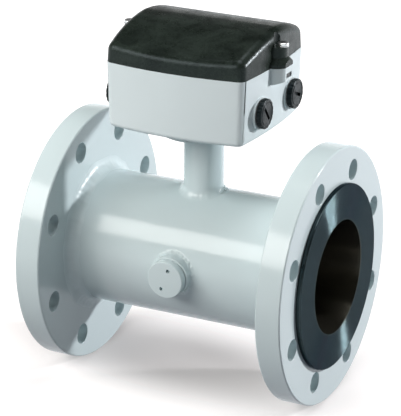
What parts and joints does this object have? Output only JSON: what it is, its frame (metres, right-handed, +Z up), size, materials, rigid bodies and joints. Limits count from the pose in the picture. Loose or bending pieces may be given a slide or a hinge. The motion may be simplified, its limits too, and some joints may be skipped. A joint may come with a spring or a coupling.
{
  "type": "magnetic flow meter",
  "caption": "flanged magnetic flow meter: rubber-lined pipe between round bolted flanges, screwed electrode caps, a short neck and a pale terminal box with a dark arched lid",
  "frame": {"origin": "centre of the liner's bore on the pipe axis, halfway between the two flange faces", "axes": "+X runs along the pipe with the flow, from the inlet flange to the outlet flange; -Y is the front, towards the viewer in the picture; +Z is up, through the neck to the terminal box"},
  "size_m": [0.25, 0.22, 0.315],
  "materials": {
    "body_paint": "gloss",
    "box_plastic": "satin",
    "lid_plastic": "satin",
    "plug_plastic": "satin",
    "liner_rubber": "satin",
    "seal_rubber": "matte",
    "stainless": "satin",
    "zinc_screw": "satin",
    "magnet_steel": "matte",
    "copper_winding": "satin",
    "insulator": "matte",
    "board": "satin",
    "terminal_plastic": "satin",
    "module_plastic": "satin",
    "wire_insulation": "matte"
  },
  "bodies": {
    "meter": {"base_collar": "body_paint", "base_gasket": "seal_rubber", "board_screws": "zinc_screw", "boss_back": "body_paint", "boss_front": "body_paint", "boss_weld_back": "body_paint", "boss_weld_front": "body_paint", "box_screws": "zinc_screw", "captive_nut_left": "zinc_screw", "captive_nut_right": "zinc_screw", "coil_bottom": "copper_winding", "coil_leads": "wire_insulation", "coil_top": "copper_winding", "electrode_back": "stainless", "electrode_front": "stainless", "electrode_leads": "wire_insulation", "electrode_nut_back": "stainless", "electrode_nut_front": "stainless", "electrode_sleeve_back": "insulator", "electrode_sleeve_front": "insulator", "electrode_spring_back": "stainless", "electrode_spring_front": "stainless", "flange_inlet": "body_paint", "flange_outlet": "body_paint", "flange_weld_inlet": "body_paint", "flange_weld_outlet": "body_paint", "housing_pipe": "body_paint", "lid_gasket": "seal_rubber", "liner": "liner_rubber", "measuring_tube": "stainless", "memory_module": "module_plastic", "neck_pipe": "body_paint", "neck_weld": "body_paint", "pole_piece_bottom": "magnet_steel", "pole_piece_top": "magnet_steel", "terminal_block_coil": "terminal_plastic", "terminal_block_signal": "terminal_plastic", "terminal_board": "board", "terminal_box": "box_plastic", "yoke_band": "magnet_steel"},
    "lid": {"lid": "lid_plastic"},
    "lid_washer_left": {"lid_washer_left": "zinc_screw"},
    "lid_screw_left": {"lid_screw_left": "zinc_screw"},
    "plug_seal_left_front": {"plug_seal_left_front": "seal_rubber"},
    "plug_left_front": {"plug_left_front": "plug_plastic"},
    "plug_seal_left_back": {"plug_seal_left_back": "seal_rubber"},
    "plug_left_back": {"plug_left_back": "plug_plastic"},
    "lid_washer_right": {"lid_washer_right": "zinc_screw"},
    "lid_screw_right": {"lid_screw_right": "zinc_screw"},
    "plug_seal_right_front": {"plug_seal_right_front": "seal_rubber"},
    "plug_right_front": {"plug_right_front": "plug_plastic"},
    "plug_seal_right_back": {"plug_seal_right_back": "seal_rubber"},
    "plug_right_back": {"plug_right_back": "plug_plastic"},
    "cap_seal_front": {"cap_seal_front": "seal_rubber"},
    "cap_front": {"cap_front": "body_paint"},
    "cap_seal_back": {"cap_seal_back": "seal_rubber"},
    "cap_back": {"cap_back": "body_paint"}
  },
  "joints": [
    {"name": "lid_lift", "type": "slide", "parent": "meter", "child": "lid", "axis": [0, 0, 1], "range_m": [0, 0.06]},
    {"name": "lid_screw_left_rise", "type": "slide", "parent": "lid", "child": "lid_washer_left", "axis": [0, 0, 1], "range_m": [0, 0.01]},
    {"name": "lid_screw_left_turn", "type": "hinge", "parent": "lid_washer_left", "child": "lid_screw_left", "pos_m": [-0.0702, 0, 0.1932], "axis": [0, 0, 1], "range_deg": [0, 3600]},
    {"name": "plug_left_front_travel", "type": "slide", "parent": "meter", "child": "plug_seal_left_front", "axis": [-1, 0, 0], "range_m": [0, 0.009]},
    {"name": "plug_left_front_turn", "type": "hinge", "parent": "plug_seal_left_front", "child": "plug_left_front", "pos_m": [-0.0665, -0.03, 0.143], "axis": [-1, 0, 0], "range_deg": [0, 2160]},
    {"name": "plug_left_back_travel", "type": "slide", "parent": "meter", "child": "plug_seal_left_back", "axis": [-1, 0, 0], "range_m": [0, 0.009]},
    {"name": "plug_left_back_turn", "type": "hinge", "parent": "plug_seal_left_back", "child": "plug_left_back", "pos_m": [-0.0665, 0.03, 0.143], "axis": [-1, 0, 0], "range_deg": [0, 2160]},
    {"name": "lid_screw_right_rise", "type": "slide", "parent": "lid", "child": "lid_washer_right", "axis": [0, 0, 1], "range_m": [0, 0.01]},
    {"name": "lid_screw_right_turn", "type": "hinge", "parent": "lid_washer_right", "child": "lid_screw_right", "pos_m": [0.0702, 0, 0.1932], "axis": [0, 0, 1], "range_deg": [0, 3600]},
    {"name": "plug_right_front_travel", "type": "slide", "parent": "meter", "child": "plug_seal_right_front", "axis": [1, 0, 0], "range_m": [0, 0.009]},
    {"name": "plug_right_front_turn", "type": "hinge", "parent": "plug_seal_right_front", "child": "plug_right_front", "pos_m": [0.0665, -0.03, 0.143], "axis": [1, 0, 0], "range_deg": [0, 2160]},
    {"name": "plug_right_back_travel", "type": "slide", "parent": "meter", "child": "plug_seal_right_back", "axis": [1, 0, 0], "range_m": [0, 0.009]},
    {"name": "plug_right_back_turn", "type": "hinge", "parent": "plug_seal_right_back", "child": "plug_right_back", "pos_m": [0.0665, 0.03, 0.143], "axis": [1, 0, 0], "range_deg": [0, 2160]},
    {"name": "cap_front_travel", "type": "slide", "parent": "meter", "child": "cap_seal_front", "axis": [0, -1, 0], "range_m": [0, 0.009]},
    {"name": "cap_front_turn", "type": "hinge", "parent": "cap_seal_front", "child": "cap_front", "pos_m": [0, -0.0664, 0], "axis": [0, -1, 0], "range_deg": [0, 2160]},
    {"name": "cap_back_travel", "type": "slide", "parent": "meter", "child": "cap_seal_back", "axis": [0, 1, 0], "range_m": [0, 0.009]},
    {"name": "cap_back_turn", "type": "hinge", "parent": "cap_seal_back", "child": "cap_back", "pos_m": [0, 0.0664, 0], "axis": [0, 1, 0], "range_deg": [0, 2160]}
  ],
  "couplings": [
    {"joint": "lid_screw_left_turn", "follows": "lid_screw_left_rise", "rad_per_m": 6283.2},
    {"joint": "plug_left_front_turn", "follows": "plug_left_front_travel", "rad_per_m": 4188.8},
    {"joint": "plug_left_back_turn", "follows": "plug_left_back_travel", "rad_per_m": 4188.8},
    {"joint": "lid_screw_right_turn", "follows": "lid_screw_right_rise", "rad_per_m": 6283.2},
    {"joint": "plug_right_front_turn", "follows": "plug_right_front_travel", "rad_per_m": 4188.8},
    {"joint": "plug_right_back_turn", "follows": "plug_right_back_travel", "rad_per_m": 4188.8},
    {"joint": "cap_front_turn", "follows": "cap_front_travel", "rad_per_m": 4188.8},
    {"joint": "cap_back_turn", "follows": "cap_back_travel", "rad_per_m": 4188.8}
  ]
}
